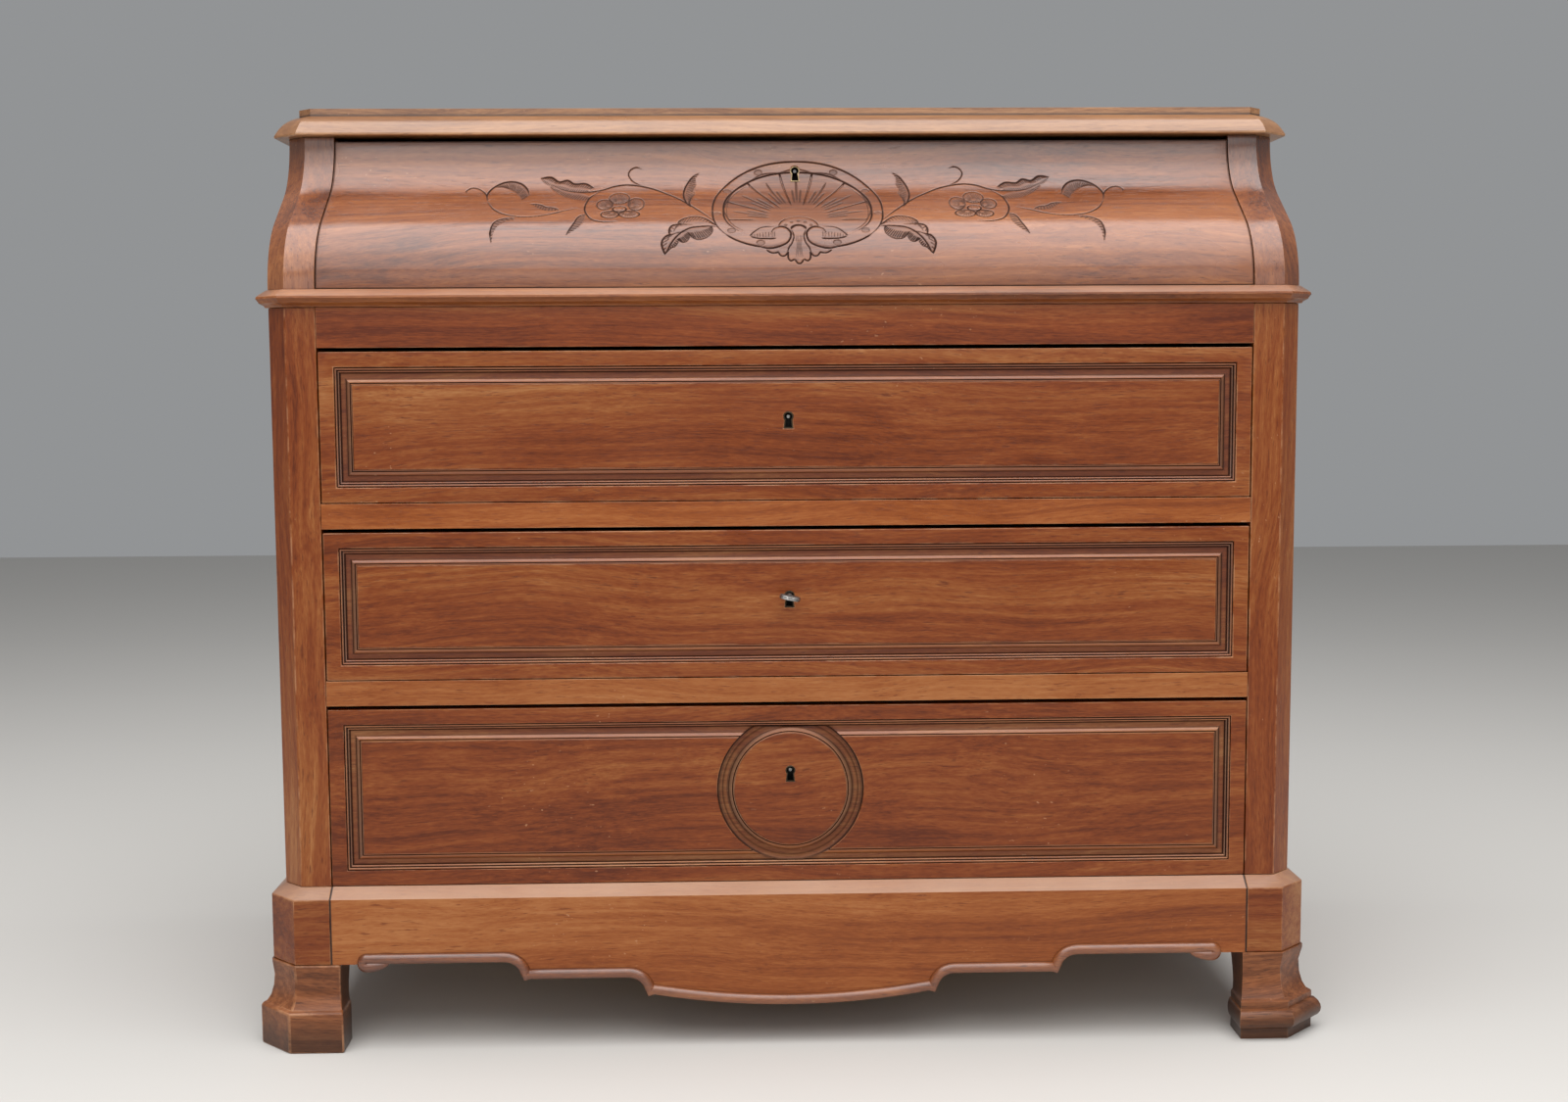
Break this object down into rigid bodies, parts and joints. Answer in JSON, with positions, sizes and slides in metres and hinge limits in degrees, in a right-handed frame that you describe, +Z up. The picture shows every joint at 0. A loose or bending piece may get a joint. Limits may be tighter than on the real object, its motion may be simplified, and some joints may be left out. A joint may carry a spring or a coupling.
{
  "type": "chest of drawers",
  "caption": "Walnut chest of drawers with an ogee-fronted top drawer, panelled drawers below, canted corner posts, a shaped apron and moulded feet; drawers slide, locks turn by key.",
  "frame": {"origin": "on the floor under the middle of the chest's bounding box", "axes": "+X to the viewer's right along the fronts, +Y to the back, +Z up"},
  "size_m": [1.298, 0.6, 1.1283],
  "materials": {
    "walnut": "waxed and polished, worn at the edges",
    "walnut_fronts": "waxed and polished, grain running across",
    "walnut_feet": "waxed, scuffed",
    "inner_wood": "bare planed softwood",
    "brass": "tarnished",
    "iron": "dull, hand-filed"
  },
  "bodies": {
    "carcass": {"top_board": "walnut", "waist_board": "walnut", "front_post_left": "walnut", "front_post_right": "walnut", "ogee_post_left": "walnut", "ogee_post_right": "walnut", "lower_side_left": "walnut", "lower_side_right": "walnut", "upper_side_left": "walnut", "upper_side_right": "walnut", "lower_rail": "walnut", "upper_rail": "walnut", "frieze_rail": "walnut", "base_block_left": "walnut", "base_block_right": "walnut", "side_plinth_left": "walnut", "side_plinth_right": "walnut", "apron_rail": "walnut", "apron_bead": "walnut", "front_foot_left": "walnut_feet", "front_foot_right": "walnut_feet", "rear_foot_left": "walnut_feet", "rear_foot_right": "walnut_feet", "back_panel": "inner_wood", "upper_dust_board": "inner_wood", "lower_dust_board": "inner_wood", "bottom_board": "inner_wood"},
    "top_drawer": {"top_drawer_front": "walnut_fronts", "top_drawer_side_left": "inner_wood", "top_drawer_side_right": "inner_wood", "top_drawer_bottom": "inner_wood", "top_drawer_back": "inner_wood", "top_lock_case": "iron", "top_keyhole_liner": "brass"},
    "top_bolt": {"top_lock_bolt": "iron"},
    "upper_drawer": {"upper_drawer_front": "walnut_fronts", "upper_drawer_side_left": "inner_wood", "upper_drawer_side_right": "inner_wood", "upper_drawer_bottom": "inner_wood", "upper_drawer_back": "inner_wood", "upper_lock_case": "iron", "upper_keyhole_liner": "brass"},
    "upper_bolt": {"upper_lock_bolt": "iron"},
    "middle_drawer": {"middle_drawer_front": "walnut_fronts", "middle_drawer_side_left": "inner_wood", "middle_drawer_side_right": "inner_wood", "middle_drawer_bottom": "inner_wood", "middle_drawer_back": "inner_wood", "middle_lock_case": "iron", "middle_keyhole_liner": "brass"},
    "middle_bolt": {"middle_lock_bolt": "iron"},
    "lower_drawer": {"lower_drawer_front": "walnut_fronts", "lower_drawer_side_left": "inner_wood", "lower_drawer_side_right": "inner_wood", "lower_drawer_bottom": "inner_wood", "lower_drawer_back": "inner_wood", "lower_lock_case": "iron", "lower_keyhole_liner": "brass"},
    "lower_bolt": {"lower_lock_bolt": "iron"},
    "key": {"key": "iron"}
  },
  "joints": [
    {"name": "top_drawer_slide", "type": "slide", "parent": "carcass", "child": "top_drawer", "axis": [0, -1, 0], "range_m": [0, 0.36]},
    {"name": "upper_drawer_slide", "type": "slide", "parent": "carcass", "child": "upper_drawer", "axis": [0, -1, 0], "range_m": [0, 0.36]},
    {"name": "middle_drawer_slide", "type": "slide", "parent": "carcass", "child": "middle_drawer", "axis": [0, -1, 0], "range_m": [0, 0.36]},
    {"name": "lower_drawer_slide", "type": "slide", "parent": "carcass", "child": "lower_drawer", "axis": [0, -1, 0], "range_m": [0, 0.36]},
    {"name": "top_bolt_slide", "type": "slide", "parent": "top_drawer", "child": "top_bolt", "axis": [0, 0, 1], "range_m": [0, 0.008]},
    {"name": "upper_bolt_slide", "type": "slide", "parent": "upper_drawer", "child": "upper_bolt", "axis": [0, 0, 1], "range_m": [0, 0.008]},
    {"name": "middle_bolt_slide", "type": "slide", "parent": "middle_drawer", "child": "middle_bolt", "axis": [0, 0, 1], "range_m": [0, 0.008]},
    {"name": "lower_bolt_slide", "type": "slide", "parent": "lower_drawer", "child": "lower_bolt", "axis": [0, 0, 1], "range_m": [0, 0.008]},
    {"name": "key_turn", "type": "hinge", "parent": "middle_drawer", "child": "key", "pos_m": [0, -0.26, 0.5395], "axis": [0, 1, 0], "range_deg": [0, 180]}
  ],
  "couplings": [
    {"joint": "key_turn", "follows": "middle_bolt_slide", "rad_per_m": 392.7}
  ]
}
